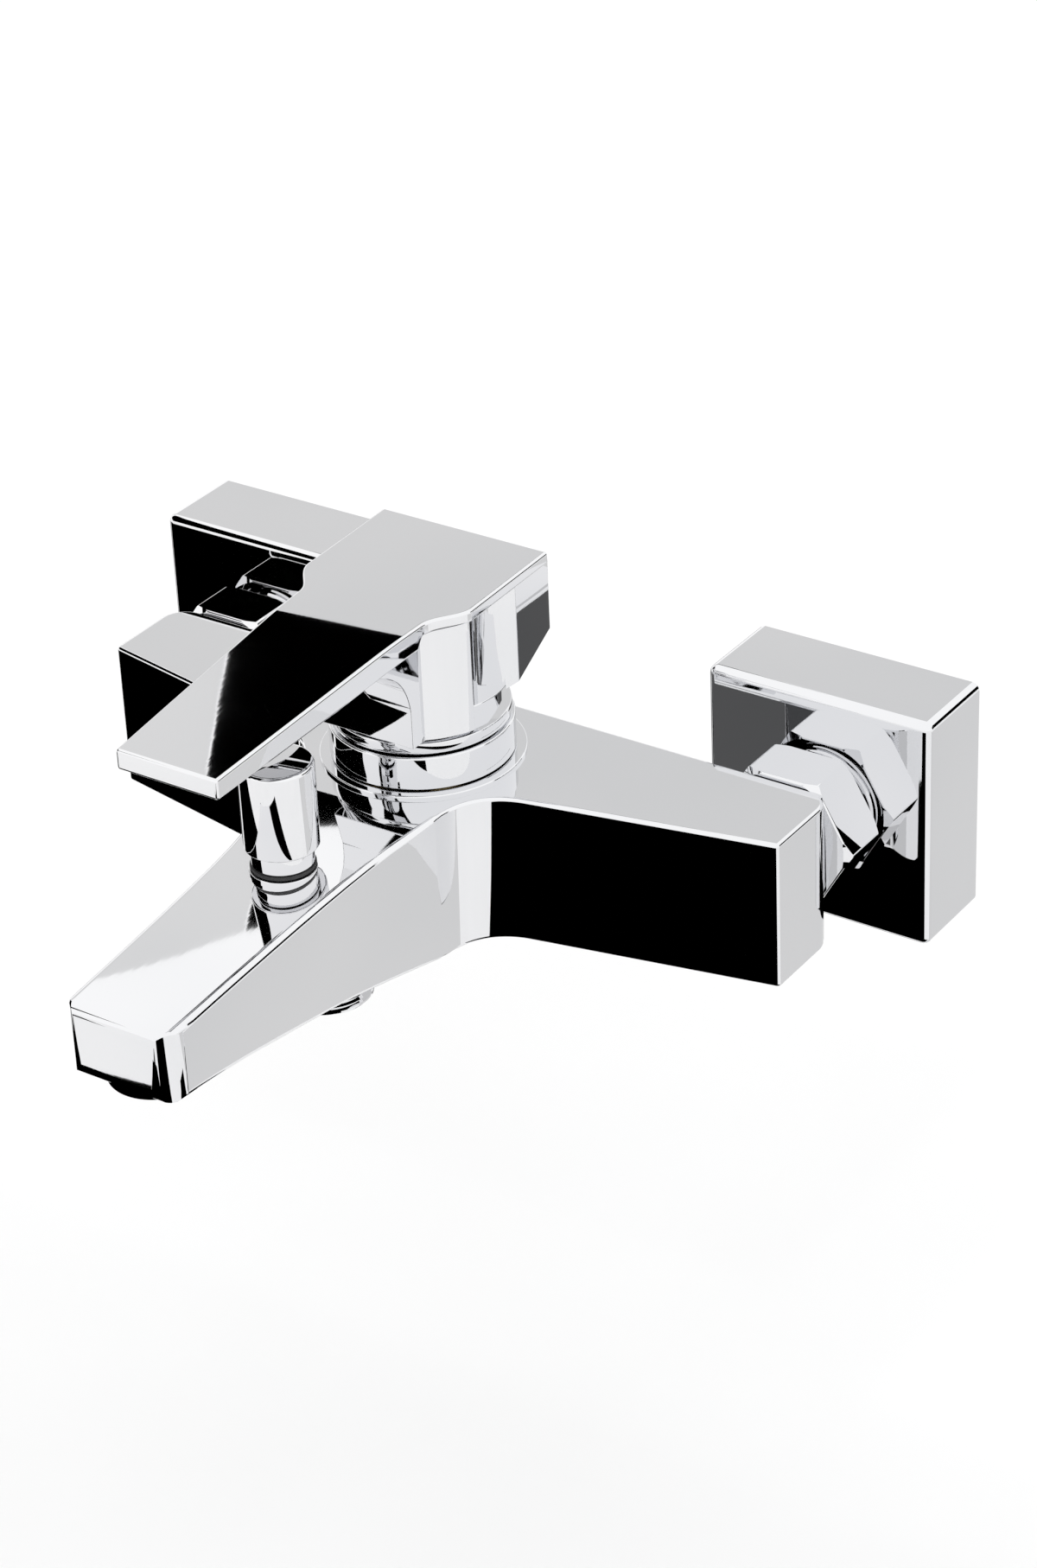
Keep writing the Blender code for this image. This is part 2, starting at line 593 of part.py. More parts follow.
def lever_hub():
    """Square back and round hub under the plate, flared towards the blade."""
    inset = 0.15 * MM               # the hub stands this far inside the plate's edges
    back, half, hub_r = HANDLE_BACK - inset, HANDLE_HALF - inset, SKIRT_R - inset
    flare = curve_through((-99 * MM, 50.4 * MM), (-86 * MM, 48.5 * MM), (HUB_FRONT, 36 * MM), 6)
    side = [(back, SKIRT_TOP), (back, 57.2 * MM), (-60 * MM, 56.6 * MM), (-99 * MM, 54.4 * MM)]
    side += flare + [(HUB_FRONT, SKIRT_LOW), (-72 * MM, SKIRT_LOW), (-72 * MM, SKIRT_TOP)]
    hub = prism("join_lever_hub", side, -30 * MM, 30 * MM, axis="X")
    hub_arc = arc((0, AXIS_Y), hub_r, NICHE_FRONT_ANGLE - 90, -52, 4)
    niche = curve_through((half, NICHE_BACK), (15.2 * MM, -63.5 * MM), hub_arc[0], 6)
    half_outline = [(half, -40 * MM)] + niche + hub_arc[1:]
    half_outline += [(12.5 * MM, -84 * MM), (12.2 * MM, -102 * MM)]
    plan = prism("cross_lever_plan", half_outline + mirrored(half_outline), 20 * MM, 62 * MM)
    combine(hub, "INTERSECT", plan)
    return hub


def make_lever(mats, tilt):
    lever = make_lever_plate(mats)
    skirt = turned("join_lever_skirt", rod_profile(SKIRT_R, SKIRT_LOW, SKIRT_TOP), None,
                   (0, AXIS_Y, 0), steps=48)
    combine(lever, "UNION", lever_hub(), skirt)
    # sloping relief below the square back lets the lever tilt
    relief = prism("cut_tilt_relief", ((-69 * MM, 26.4 * MM), (-38 * MM, 44 * MM),
                                       (-38 * MM, 20 * MM), (-69 * MM, 20 * MM)),
                   -30 * MM, 30 * MM, axis="X")
    ball = bmesh.new()
    bmesh.ops.create_uvsphere(ball, u_segments=36, v_segments=22, radius=HANDLE_CAVITY_R)
    bmesh.ops.translate(ball, vec=(0, AXIS_Y, PIVOT_Z), verts=ball.verts)
    cavity = add_object("cut_lever_cavity", ball)
    side = STEM_HALF + GAP
    socket = block("cut_stem_socket", (-side, AXIS_Y - side, 30 * MM),
                   (side, AXIS_Y + side, STEM_TOP + GAP))
    screw_way = turned("cut_screw_way", rod_profile(2.7 * MM, AXIS_Y, -40 * MM), None,
                       (0, 0, SCREW_Z), "Y", 24)
    cut(lever, relief, cavity, socket, screw_way)
    ride_on(lever, tilt, (0, AXIS_Y, PIVOT_Z))
    screw = turned("handle_set_screw", rod_profile(2.4 * MM, -59.6 * MM, -51.6 * MM),
                   mats["steel"], (0, 0, SCREW_Z), "Y", 24)
    key = turned("cut_screw_key", rod_profile(1.4 * MM, -54 * MM, -50 * MM), None,
                 (0, 0, SCREW_Z), "Y", 6)
    cut(screw, key)
    ride_on(screw, tilt, (0, AXIS_Y, PIVOT_Z))
    plug = turned("indicator_plug", rod_profile(2.4 * MM, -47.4 * MM, HANDLE_BACK - 0.1 * MM),
                  mats["indicator"], (0, 0, SCREW_Z), "Y", 24)
    ride_on(plug, tilt, (0, AXIS_Y, PIVOT_Z))


# --- diverter -----------------------------------------------------------------------------------------
def make_diverter(mats, lift):
    place = (0, DIVERTER_Y, 0)
    foot = DIVERTER_PAD_TOP + GAP
    shoulder = foot + 0.8 * MM + GAP
    bonnet = ((3.1 * MM, 1.5 * MM), (6.1 * MM, 1.5 * MM), (6.1 * MM, shoulder),
              (6.8 * MM, shoulder), (6.8 * MM, 16.1 * MM), (6.4 * MM, 16.5 * MM),
              (3.1 * MM, 16.5 * MM))
    turned("diverter_bonnet", bonnet, mats["chrome"], place, steps=32)
    ring("diverter_foot_ring", 6.4 * MM, 7.1 * MM, foot, foot + 0.8 * MM, mats["rubber"], place,
         steps=32)
    hole = DIVERTER_STEM_R + GAP
    knob = ((0, 33 * MM), (hole, 33 * MM), (hole, KNOB_LOW), (KNOB_R - 0.45 * MM, KNOB_LOW),
            (KNOB_R, KNOB_LOW + 0.4 * MM), (KNOB_R, KNOB_TOP - 1.2 * MM),
            (KNOB_R - 0.95 * MM, KNOB_TOP), (0, KNOB_TOP))
    pieces = [turned("diverter_knob", knob, mats["chrome"], place, steps=32)]
    pieces.append(turned("diverter_stem", rod_profile(DIVERTER_STEM_R, -10.9 * MM, 32.7 * MM),
                         mats["steel"], place, steps=20))
    pieces.append(ring("diverter_valve_disc", 3.1 * MM, 5.8 * MM, -9.6 * MM, -8.1 * MM,
                       mats["brass"], place, steps=28))
    pieces.append(ring("diverter_washer", 3.1 * MM, 5.8 * MM, -10.7 * MM, -9.9 * MM,
                       mats["rubber"], place, steps=28))
    for piece in pieces:
        ride_on(piece, lift, (0, DIVERTER_Y, KNOB_LOW))
    make_spring(mats)


def make_spring(mats):
    """Wire coil between the bonnet and the valve disc, one curve with capped ends."""
    turns, per_turn = 3.5, 10
    low, high, radius = -7.3 * MM, 0.7 * MM, 4.6 * MM
    curve = bpy.data.curves.new("diverter_spring", "CURVE")
    curve.dimensions = "3D"
    curve.bevel_depth = 0.4 * MM
    curve.bevel_resolution = 1
    curve.use_fill_caps = True
    wire = curve.splines.new("POLY")
    count = int(turns * per_turn)
    wire.points.add(count)
    for i, point in enumerate(wire.points):
        angle = 2 * pi * i / per_turn
        point.co = (radius * cos(angle), radius * sin(angle), low + (high - low) * i / count, 1)
    curve.materials.append(mats["steel"])
    spring = bpy.data.objects.new("diverter_spring", curve)
    spring.location = (0, DIVERTER_Y, 0)
    bpy.context.scene.collection.objects.link(spring)


# --- outlets --------------------------------------------------------------------------------------------
def make_shower_outlet(mats):
    nipple = ((4.6 * MM, -26.6 * MM), (9.7 * MM, -26.6 * MM), (10.3 * MM, -26 * MM),
              (10.3 * MM, -21.6 * MM), (7 * MM, -21.6 * MM), (7 * MM, -12.2 * MM),
              (4.6 * MM, -12.2 * MM))
    turned("shower_outlet_nipple", nipple, mats["chrome"], (0, OUTLET_Y, 0), steps=32)


def make_aerator(mats):
    place = (0, AERATOR_Y, 0)
    housing = ((7.8 * MM, -13.8 * MM), (10.3 * MM, -13.8 * MM), (10.65 * MM, -13.45 * MM),
               (10.65 * MM, -4 * MM), (8.7 * MM, -4 * MM), (8.7 * MM, -12.8 * MM),
               (7.8 * MM, -12.8 * MM))
    turned("aerator_housing", housing, mats["chrome"], place, steps=36)
    insert = turned("aerator_insert", rod_profile(8.4 * MM, -12.5 * MM, -5 * MM),
                    mats["white_plastic"], place, steps=36)
    for count, radius in ((1, 0.0), (6, 3.1 * MM), (10, 6.1 * MM)):
        for i in range(count):
            angle = 2 * pi * i / count
            spot = (radius * cos(angle), AERATOR_Y + radius * sin(angle), 0)
            jet = turned(f"cut_jet_{count}_{i}", rod_profile(0.9 * MM, -14 * MM, -4 * MM), None,
                         spot, steps=6)
            cut(insert, jet)
    ring("aerator_washer", 7 * MM, 10.4 * MM, -3.7 * MM, -2.2 * MM, mats["rubber"], place)


def main():
    clear_scene()
    mats = make_materials()
    pivot = (0, AXIS_Y, PIVOT_Z)
    swivel = add_axis_empty("handle_swivel_axis", pivot)
    tilt = add_axis_empty("handle_tilt_axis", pivot, swivel)
    slide = add_axis_empty("disc_slide_axis", (0, AXIS_Y, 0), swivel)
    lift = add_axis_empty("diverter_lift_axis", (0, DIVERTER_Y, KNOB_LOW))
    make_body(mats)
    for side in (-1, 1):
        make_inlet(side, mats)
    make_fixed_cartridge(mats)
    make_moving_cartridge(mats, swivel, slide)
    make_stem(mats, tilt)
    make_retaining_nut(mats)
    make_covers(mats)
    make_lever(mats, tilt)
    make_diverter(mats, lift)
    make_shower_outlet(mats)
    make_aerator(mats)


main()
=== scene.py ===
import json
from math import acos, asin, cos, degrees, pi, radians, sin

import bmesh
import bpy
from mathutils import Matrix, Vector


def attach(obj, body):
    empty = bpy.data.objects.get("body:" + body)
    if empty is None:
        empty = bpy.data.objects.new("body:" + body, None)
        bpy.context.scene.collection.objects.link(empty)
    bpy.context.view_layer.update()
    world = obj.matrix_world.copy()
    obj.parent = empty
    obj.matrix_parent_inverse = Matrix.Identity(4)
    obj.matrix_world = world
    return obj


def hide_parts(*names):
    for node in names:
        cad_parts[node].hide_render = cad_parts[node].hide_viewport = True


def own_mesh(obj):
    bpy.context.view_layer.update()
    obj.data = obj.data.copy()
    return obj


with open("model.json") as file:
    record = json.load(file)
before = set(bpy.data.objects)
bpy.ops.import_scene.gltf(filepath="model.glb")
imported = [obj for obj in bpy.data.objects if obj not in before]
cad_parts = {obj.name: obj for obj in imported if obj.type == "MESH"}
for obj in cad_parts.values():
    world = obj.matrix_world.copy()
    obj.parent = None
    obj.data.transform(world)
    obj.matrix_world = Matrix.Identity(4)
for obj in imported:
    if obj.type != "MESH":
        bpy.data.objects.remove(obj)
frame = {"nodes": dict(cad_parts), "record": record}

mm = 0.001
room = 0.3 * mm          # gap between neighbouring pieces
scene = bpy.context.scene
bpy.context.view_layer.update()     # brings the CAD model's matrices up to date
nodes = frame["nodes"]
print("frame loaded:", len(nodes), "nodes")


def newMaterial(name):
    material = bpy.data.materials.new(name)
    material.use_nodes = True
    tree = material.node_tree
    return material, tree, tree.nodes["Principled BSDF"]


def objectNoise(tree, scale, detail=3.0, stretch=(1, 1, 1), roughness=0.5):
    coords = tree.nodes.new("ShaderNodeTexCoord")
    mapping = tree.nodes.new("ShaderNodeMapping")
    mapping.inputs["Scale"].default_value = stretch
    noise = tree.nodes.new("ShaderNodeTexNoise")
    noise.inputs["Scale"].default_value = scale
    noise.inputs["Detail"].default_value = detail
    noise.inputs["Roughness"].default_value = roughness
    tree.links.new(coords.outputs["Object"], mapping.inputs["Vector"])
    tree.links.new(mapping.outputs["Vector"], noise.inputs["Vector"])
    return noise.outputs["Fac"]


def spread(tree, source, low, high, fromLow=0.3, fromHigh=0.7):
    node = tree.nodes.new("ShaderNodeMapRange")
    node.inputs["From Min"].default_value = fromLow
    node.inputs["From Max"].default_value = fromHigh
    node.inputs["To Min"].default_value = low
    node.inputs["To Max"].default_value = high
    tree.links.new(source, node.inputs["Value"])
    return node.outputs["Result"]


def tintBetween(tree, source, first, second):
    ramp = tree.nodes.new("ShaderNodeValToRGB")
    ramp.color_ramp.elements[0].position = 0.35
    ramp.color_ramp.elements[1].position = 0.65
    ramp.color_ramp.elements[0].color = (*first, 1)
    ramp.color_ramp.elements[1].color = (*second, 1)
    tree.links.new(source, ramp.inputs["Fac"])
    return ramp.outputs["Color"]


def bumpChain(tree, shader, *layers):
    previous = None
    for source, depth in layers:
        bump = tree.nodes.new("ShaderNodeBump")
        bump.inputs["Distance"].default_value = depth
        tree.links.new(source, bump.inputs["Height"])
        if previous:
            tree.links.new(previous, bump.inputs["Normal"])
        previous = bump.outputs["Normal"]
    tree.links.new(previous, shader.inputs["Normal"])


chromeFinish = {
    "tint": (0.83, 0.83, 0.84),
    "worn": (0.78, 0.785, 0.80),
    "polish": (0.012, 0.03),      # roughness from clean to handled
    "waveSize": 26,               # waves per metre left by the polishing wheel
    "waveDepth": 0.035 * mm,
    "wheelDepth": 0.0006 * mm,
}


def chromePlate(name):
    kit = chromeFinish
    material, tree, shader = newMaterial(name)
    handled = objectNoise(tree, 38, 5, (1, 1, 1), 0.6)
    cloudy = objectNoise(tree, 11, 2)
    wheel = objectNoise(tree, 900, 2, (1, 0.12, 1))
    waves = objectNoise(tree, kit["waveSize"], 1)
    shader.inputs["Metallic"].default_value = 1.0
    tree.links.new(tintBetween(tree, cloudy, kit["tint"], kit["worn"]), shader.inputs["Base Color"])
    tree.links.new(spread(tree, handled, *kit["polish"]), shader.inputs["Roughness"])
    bumpChain(tree, shader, (waves, kit["waveDepth"]), (wheel, kit["wheelDepth"]))
    return material


machinedFinish = {
    "brass": {"first": (0.74, 0.56, 0.27), "second": (0.60, 0.43, 0.19), "rough": (0.22, 0.42)},
    "steel": {"first": (0.66, 0.66, 0.67), "second": (0.52, 0.52, 0.54), "rough": (0.20, 0.38)},
    "grooveSize": 2600,           # turning marks per metre
    "grooveDepth": 0.004 * mm,
}


def machinedMetal(name, kind):
    kit = machinedFinish[kind]
    material, tree, shader = newMaterial(name)
    stain = objectNoise(tree, 60, 5, (1, 1, 1), 0.65)
    grooves = objectNoise(tree, machinedFinish["grooveSize"], 1, (0.03, 1, 0.03))
    shader.inputs["Metallic"].default_value = 1.0
    tree.links.new(tintBetween(tree, stain, kit["first"], kit["second"]), shader.inputs["Base Color"])
    tree.links.new(spread(tree, stain, *kit["rough"]), shader.inputs["Roughness"])
    bumpChain(tree, shader, (grooves, machinedFinish["grooveDepth"]))
    return material


softFinishes = {
    "whiteAcetal": {"first": (0.84, 0.84, 0.80), "second": (0.76, 0.76, 0.72),
                    "rough": (0.36, 0.52), "grain": 1500, "depth": 0.006 * mm},
    "greyNylon": {"first": (0.26, 0.27, 0.29), "second": (0.34, 0.35, 0.37),
                  "rough": (0.42, 0.6), "grain": 1900, "depth": 0.010 * mm},
    "lappedCeramic": {"first": (0.90, 0.89, 0.86), "second": (0.85, 0.84, 0.80),
                      "rough": (0.14, 0.26), "grain": 3200, "depth": 0.002 * mm},
    "blackRubber": {"first": (0.018, 0.018, 0.019), "second": (0.045, 0.045, 0.047),
                    "rough": (0.5, 0.75), "grain": 2400, "depth": 0.012 * mm},
    "redPlug": {"first": (0.62, 0.045, 0.035), "second": (0.50, 0.03, 0.03),
                "rough": (0.12, 0.24), "grain": 900, "depth": 0.004 * mm},
}


def softFinish(name):
    kit = softFinishes[name]
    material, tree, shader = newMaterial(name)
    mottle = objectNoise(tree, 140, 4)
    grain = objectNoise(tree, kit["grain"], 3)
    tree.links.new(tintBetween(tree, mottle, kit["first"], kit["second"]), shader.inputs["Base Color"])
    tree.links.new(spread(tree, grain, *kit["rough"]), shader.inputs["Roughness"])
    bumpChain(tree, shader, (grain, kit["depth"]))
    return material


finishes = {
    "chrome": chromePlate("chromePlate"),
    "brass": machinedMetal("turnedBrass", "brass"),
    "steel": machinedMetal("turnedSteel", "steel"),
    "white_plastic": softFinish("whiteAcetal"),
    "grey_plastic": softFinish("greyNylon"),
    "ceramic": softFinish("lappedCeramic"),
    "rubber": softFinish("blackRubber"),
    "indicator": softFinish("redPlug"),
}
print("finishes ready:", len(finishes))


def finishMesh(name, bm, material=None, sharpAngle=32):
    bmesh.ops.recalc_face_normals(bm, faces=bm.faces)
    mesh = bpy.data.meshes.new(name)
    bm.to_mesh(mesh)
    bm.free()
    for polygon in mesh.polygons:
        polygon.use_smooth = True
    mesh.set_sharp_from_angle(angle=radians(sharpAngle))
    if material:
        mesh.materials.append(material)
    piece = bpy.data.objects.new(name, mesh)
    scene.collection.objects.link(piece)
    return piece


def axisTurn(axis):
    if axis == "Y":
        return Matrix.Rotation(radians(-90), 4, "X")
    if axis == "X":
        return Matrix.Rotation(radians(90), 4, "Y")
    return Matrix.Identity(4)


def roundedLoop(corners, steps=4):
    loop = []
    count = len(corners)
    for i, corner in enumerate(corners):
        here = Vector(corner[:2])
        size = corner[2] if len(corner) > 2 else 0
        if not size:
            loop.append(tuple(here))
            continue
        before = (Vector(corners[i - 1][:2]) - here).normalized()
        after = (Vector(corners[(i + 1) % count][:2]) - here).normalized()
        start, end = here + before * size, here + after * size
        for k in range(steps + 1):
            t = k / steps
            point = start * (1 - t) ** 2 + here * (2 * t * (1 - t)) + end * t * t
            loop.append(tuple(point))
    return loop


def lathe(name, corners, material=None, centre=(0, 0, 0), axis="Z", steps=96, sharpAngle=32):
    bm = bmesh.new()
    points = [bm.verts.new((radius, 0, height)) for radius, height in roundedLoop(corners)]
    edges = [bm.edges.new((points[i - 1], points[i])) for i in range(len(points))]
    bmesh.ops.spin(bm, geom=points + edges, cent=(0, 0, 0), axis=(0, 0, 1), angle=2 * pi,
                   steps=steps, use_merge=True)
    bmesh.ops.remove_doubles(bm, verts=bm.verts, dist=1e-6)
    bmesh.ops.dissolve_degenerate(bm, edges=bm.edges, dist=1e-7)
    place = Matrix.Translation(Vector(centre)) @ axisTurn(axis)
    bmesh.ops.transform(bm, matrix=place, verts=bm.verts)
    return finishMesh(name, bm, material, sharpAngle)


def rod(radius, low, high):
    return ((0, low), (radius, low), (radius, high), (0, high))


def prism(name, outline, low, high, material=None, axis="Z"):
    bm = bmesh.new()
    base = bm.faces.new([bm.verts.new((a, b, low)) for a, b in outline])
    top = bmesh.ops.extrude_face_region(bm, geom=[base])["geom"]
    moved = [v for v in top if isinstance(v, bmesh.types.BMVert)]
    bmesh.ops.translate(bm, vec=(0, 0, high - low), verts=moved)
    if axis == "X":
        turn = Matrix(((0, 0, 1, 0), (1, 0, 0, 0), (0, 1, 0, 0), (0, 0, 0, 1)))
        bmesh.ops.transform(bm, matrix=turn, verts=bm.verts)
    return finishMesh(name, bm, material)


def block(name, low, high, material=None):
    bm = bmesh.new()
    bmesh.ops.create_cube(bm, size=1)
    low, high = Vector(low), Vector(high)
    bmesh.ops.scale(bm, vec=high - low, verts=bm.verts)
    bmesh.ops.translate(bm, vec=(low + high) / 2, verts=bm.verts)
    return finishMesh(name, bm, material)


def merge(piece, operation, *tools, solver="MANIFOLD"):
    for tool in tools:
        step = piece.modifiers.new(operation.lower() + "_" + tool.name, "BOOLEAN")
        step.operation = operation
        step.solver = solver
        step.object = tool


def roundEdges(piece, width, segments=4, weighted=False, angle=35):
    step = piece.modifiers.new("roundEdges", "BEVEL")
    step.width = width
    step.segments = segments
    step.limit_method = "WEIGHT" if weighted else "ANGLE"
    step.angle_limit = radians(angle)
    step.miter_outer = "MITER_ARC"
    step.harden_normals = False


def bake(piece, *tools):
    graph = bpy.context.evaluated_depsgraph_get()
    mesh = bpy.data.meshes.new_from_object(piece.evaluated_get(graph))
    piece.modifiers.clear()
    piece.data = mesh
    for tool in tools:
        bpy.data.objects.remove(tool)


def evenNormals(piece, sharpAngle=32):
    for polygon in piece.data.polygons:
        polygon.use_smooth = True
    piece.data.set_sharp_from_angle(angle=radians(sharpAngle))
    step = piece.modifiers.new("evenNormals", "WEIGHTED_NORMAL")
    step.keep_sharp = True
    step.weight = 90


def arcPoints(centre, radius, start, end, steps):
    points = []
    for i in range(steps + 1):
        angle = radians(start + (end - start) * i / steps)
        points.append((centre[0] + radius * cos(angle), centre[1] + radius * sin(angle)))
    return points


def bendPoints(start, pull, end, steps):
    points = []
    for i in range(steps + 1):
        t = i / steps
        points.append(tuple((1 - t) ** 2 * start[k] + 2 * t * (1 - t) * pull[k] + t * t * end[k]
                            for k in range(2)))
    return points


def mirrorPoints(points):
    return [(-x, y) for x, y in reversed(points)]


def smoothTrack(stations, steps):
    track = []
    last = len(stations) - 1
    for i in range(last):
        a, b = stations[max(i - 1, 0)], stations[i]
        c, d = stations[i + 1], stations[min(i + 2, last)]
        for k in range(steps):
            t = k / steps
            track.append(tuple(
                0.5 * (2 * b[n] + (c[n] - a[n]) * t
                       + (2 * a[n] - 5 * b[n] + 4 * c[n] - d[n]) * t * t
                       + (3 * b[n] - a[n] - 3 * c[n] + d[n]) * t ** 3)
                for n in range(len(b))))
    track.append(stations[last])
    return track


def standFor(piece, body, slotName, *replaced):
    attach(piece, body)
    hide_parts(*replaced)
    return piece


casting = {
    "top": 14.3 * mm, "bottom": -21.1 * mm, "back": -37.8 * mm,
    "armHalf": 88.3 * mm, "armEndFront": -60.8 * mm,
    "armRoot": (31 * mm, -72 * mm), "spoutRoot": (19.6 * mm, -88 * mm),
    "filletPull": (19.8 * mm, -75 * mm),
    "cornerRound": 6 * mm, "backRound": 8 * mm,
    "edge": 4.0 * mm,             # the roundest edges, at the spout's tip
    "armShare": 0.25, "spoutShare": 0.6,   # shares of it along the arms and the spout
    "tipRound": 6 * mm,
    "tipLean": 0.6 * mm,          # the tip's face leans back by this much at its top
    # distance from the wall, half width, top, bottom
    "spout": ((88, 19.6, 14.3, -21.1), (101, 17.3, 12.75, -19.6), (114, 15.7, 11.1, -17.9),
              (130, 14.8, 9.5, -15.9), (150, 14.2, 7.6, -13.3), (165, 13.9, 6.2, -11.8),
              (174.6, 13.7, 5.3, -11.3)),
    "bossRadius": 22.8 * mm, "bossTop": 15.1 * mm,
}
axisY = -63.8 * mm
pivotZ = 14 * mm
diverterY = -115.5 * mm
padTop = 11.4 * mm
outletY = -104 * mm
aeratorY = -161.5 * mm
inletX = 75 * mm


def castingShell():
    kit = casting
    fillet = bendPoints(kit["spoutRoot"], kit["filletPull"], kit["armRoot"], 28)
    size = kit["cornerRound"]
    corner = (kit["armHalf"] - size, kit["back"] - size)
    right = fillet + [(kit["armHalf"], kit["armEndFront"])] + arcPoints(corner, size, 0, 90, 10)
    outline = right + mirrorPoints(right)
    bm = bmesh.new()
    weight = bm.edges.layers.float.new("bevel_weight_edge")
    top = [bm.verts.new((x, y, kit["top"])) for x, y in outline]
    bottom = [bm.verts.new((x, y, kit["bottom"])) for x, y in outline]
    bm.faces.new(top)
    bm.faces.new(list(reversed(bottom)))
    for i in range(len(outline) - 1):
        bm.faces.new((top[i], bottom[i], bottom[i + 1], top[i + 1]))
    spans = []
    section = [top[0], bottom[0], bottom[-1], top[-1]]
    track = smoothTrack(kit["spout"], 2)[1:]
    for reach, half, high, low in track:
        corners = ((half, high), (half, low), (-half, low), (-half, high))
        following = [bm.verts.new((x * mm, -reach * mm, z * mm)) for x, z in corners]
        for i in range(4):
            bm.faces.new((section[i - 1], section[i], following[i], following[i - 1]))
            spans.append((section[i], following[i], reach))
        section = following
    bm.faces.new(section)
    for corner in (section[0], section[3]):
        corner.co.y += kit["tipLean"]
    for ring in (top, bottom):
        for i in range(len(ring) - 1):
            bm.edges.get((ring[i], ring[i + 1]))[weight] = kit["armShare"]
    for upper, lower in zip(top, bottom):
        if abs(upper.co.y - kit["armEndFront"]) < 1e-6:
            bm.edges.get((upper, lower))[weight] = kit["armShare"]
    growth = kit["spoutShare"] - kit["armShare"]
    for near, far, reach in spans:
        share = min((reach - kit["spout"][0][0]) / 40, 1)
        bm.edges.get((near, far))[weight] = kit["armShare"] + growth * share
    for i, share in enumerate((kit["spoutShare"], 1, 1, 1)):
        bm.edges.get((section[i - 1], section[i]))[weight] = share
    return bm


def castingTools():
    kit = casting
    axis = (0, axisY, 0)
    chamber = lathe("cutChamber", ((0, -10.3 * mm), (18 * mm, -10.3 * mm), (18 * mm, 9 * mm),
                                   (19.1 * mm, 9 * mm), (19.1 * mm, 17 * mm), (0, 17 * mm)),
                    None, axis)
    tools = [chamber]
    for side in (-1, 1):
        tools.append(lathe(f"cutInlet{side}", rod(9.3 * mm, -53 * mm, -36 * mm), None,
                           (side * inletX, 0, 0), "Y", 64))
    tools.append(lathe("cutDiverter", rod(6.4 * mm, -11 * mm, 13 * mm), None,
                       (0, diverterY, 0), steps=64))
    tools.append(lathe("cutShowerOutlet", rod(7.3 * mm, -22 * mm, -11.8 * mm), None,
                       (0, outletY, 0), steps=64))
    tools.append(lathe("cutAerator", rod(10.95 * mm, -15 * mm, -1.9 * mm), None,
                       (0, aeratorY, 0), steps=80))
    backRound, proud, beyond = kit["backRound"], 0.03 * mm, 2 * mm
    centre = (kit["back"] - backRound + proud, kit["bottom"] + backRound - proud)
    outline = arcPoints(centre, backRound, -90, 0, 16)
    outline += [(kit["back"] + beyond, centre[1]), (kit["back"] + beyond, kit["bottom"] - beyond),
                (centre[0], kit["bottom"] - beyond)]
    tools.append(prism("cutBackEdge", outline, -95 * mm, 95 * mm, axis="X"))
    size = kit["tipRound"]
    front, half = -kit["spout"][-1][0] * mm, kit["spout"][-1][1] * mm
    for side in (-1, 1):
        outline = arcPoints((half - size, front + size), size + proud, -90, 0, 20)
        outline += [(half + beyond, front + size), (half + beyond, front - beyond),
                    (half - size, front - beyond)]
        tools.append(prism(f"cutTip{side}", [(side * x, y) for x, y in outline],
                           -20 * mm, 15 * mm))
    return tools


def makeCasting():
    kit = casting
    piece = finishMesh("mixerCasting", castingShell(), finishes["chrome"])
    roundEdges(piece, kit["edge"], 5, weighted=True)
    boss = lathe("joinBoss", ((0, 12 * mm), (kit["bossRadius"], 12 * mm),
                              (kit["bossRadius"], kit["bossTop"], 0.35 * mm), (0, kit["bossTop"])),
                 None, (0, axisY, 0))
    outlet = lathe("joinOutlet", ((0, -21.3 * mm), (10.9 * mm, -21.3 * mm, 0.4 * mm),
                                  (10.9 * mm, -16 * mm), (0, -16 * mm)),
                   None, (0, outletY, 0), steps=64)
    pad = lathe("joinPad", ((0, 8 * mm), (7.4 * mm, 8 * mm), (7.4 * mm, padTop, 0.2 * mm),
                            (0, padTop)), None, (0, diverterY, 0), steps=64)
    joined = [boss, outlet, pad]
    tools = castingTools()
    merge(piece, "UNION", *joined)
    merge(piece, "DIFFERENCE", *tools)
    bake(piece, *joined, *tools)
    evenNormals(piece)
    return standFor(piece, "faucet_body", "chrome", "body_casting")


makeCasting()
print("casting done")


wallCover = {"half": 27.7 * mm, "depth": 22.05 * mm, "wall": 1.5 * mm, "edge": 1.9 * mm,
             "lip": 0.05 * mm, "hole": 13.6 * mm}
unionNut = {"flats": 30 * mm, "front": -37.4 * mm, "length": 13.2 * mm, "chamfer": 1.3 * mm}


def makeCover(side, label):
    kit = wallCover
    x, half = side * inletX, kit["half"]
    piece = block("wallCover" + label, (x - half, -kit["depth"], -half),
                  (x + half, -kit["lip"], half), finishes["chrome"])
    bm = bmesh.new()
    bm.from_mesh(piece.data)
    rim = -kit["depth"] / 2
    outer = [edge for edge in bm.edges if min(v.co.y for v in edge.verts) < rim]
    bmesh.ops.bevel(bm, geom=outer, offset=kit["edge"], segments=6, profile=0.5, affect="EDGES")
    bm.to_mesh(piece.data)
    bm.free()
    inside = half - kit["wall"]
    hollow = block("cutHollow", (x - inside, kit["wall"] - kit["depth"], -inside),
                   (x + inside, 2 * mm, inside))
    roundEdges(hollow, 1.2 * mm, 4)
    hole = lathe("cutHole", rod(kit["hole"], -24 * mm, -18 * mm), None, (x, 0, 0), "Y", 80)
    merge(piece, "DIFFERENCE", hollow, hole)
    bake(piece, hollow, hole)
    evenNormals(piece)
    standFor(piece, "faucet_body", "chrome", "escutcheon_" + label.lower())


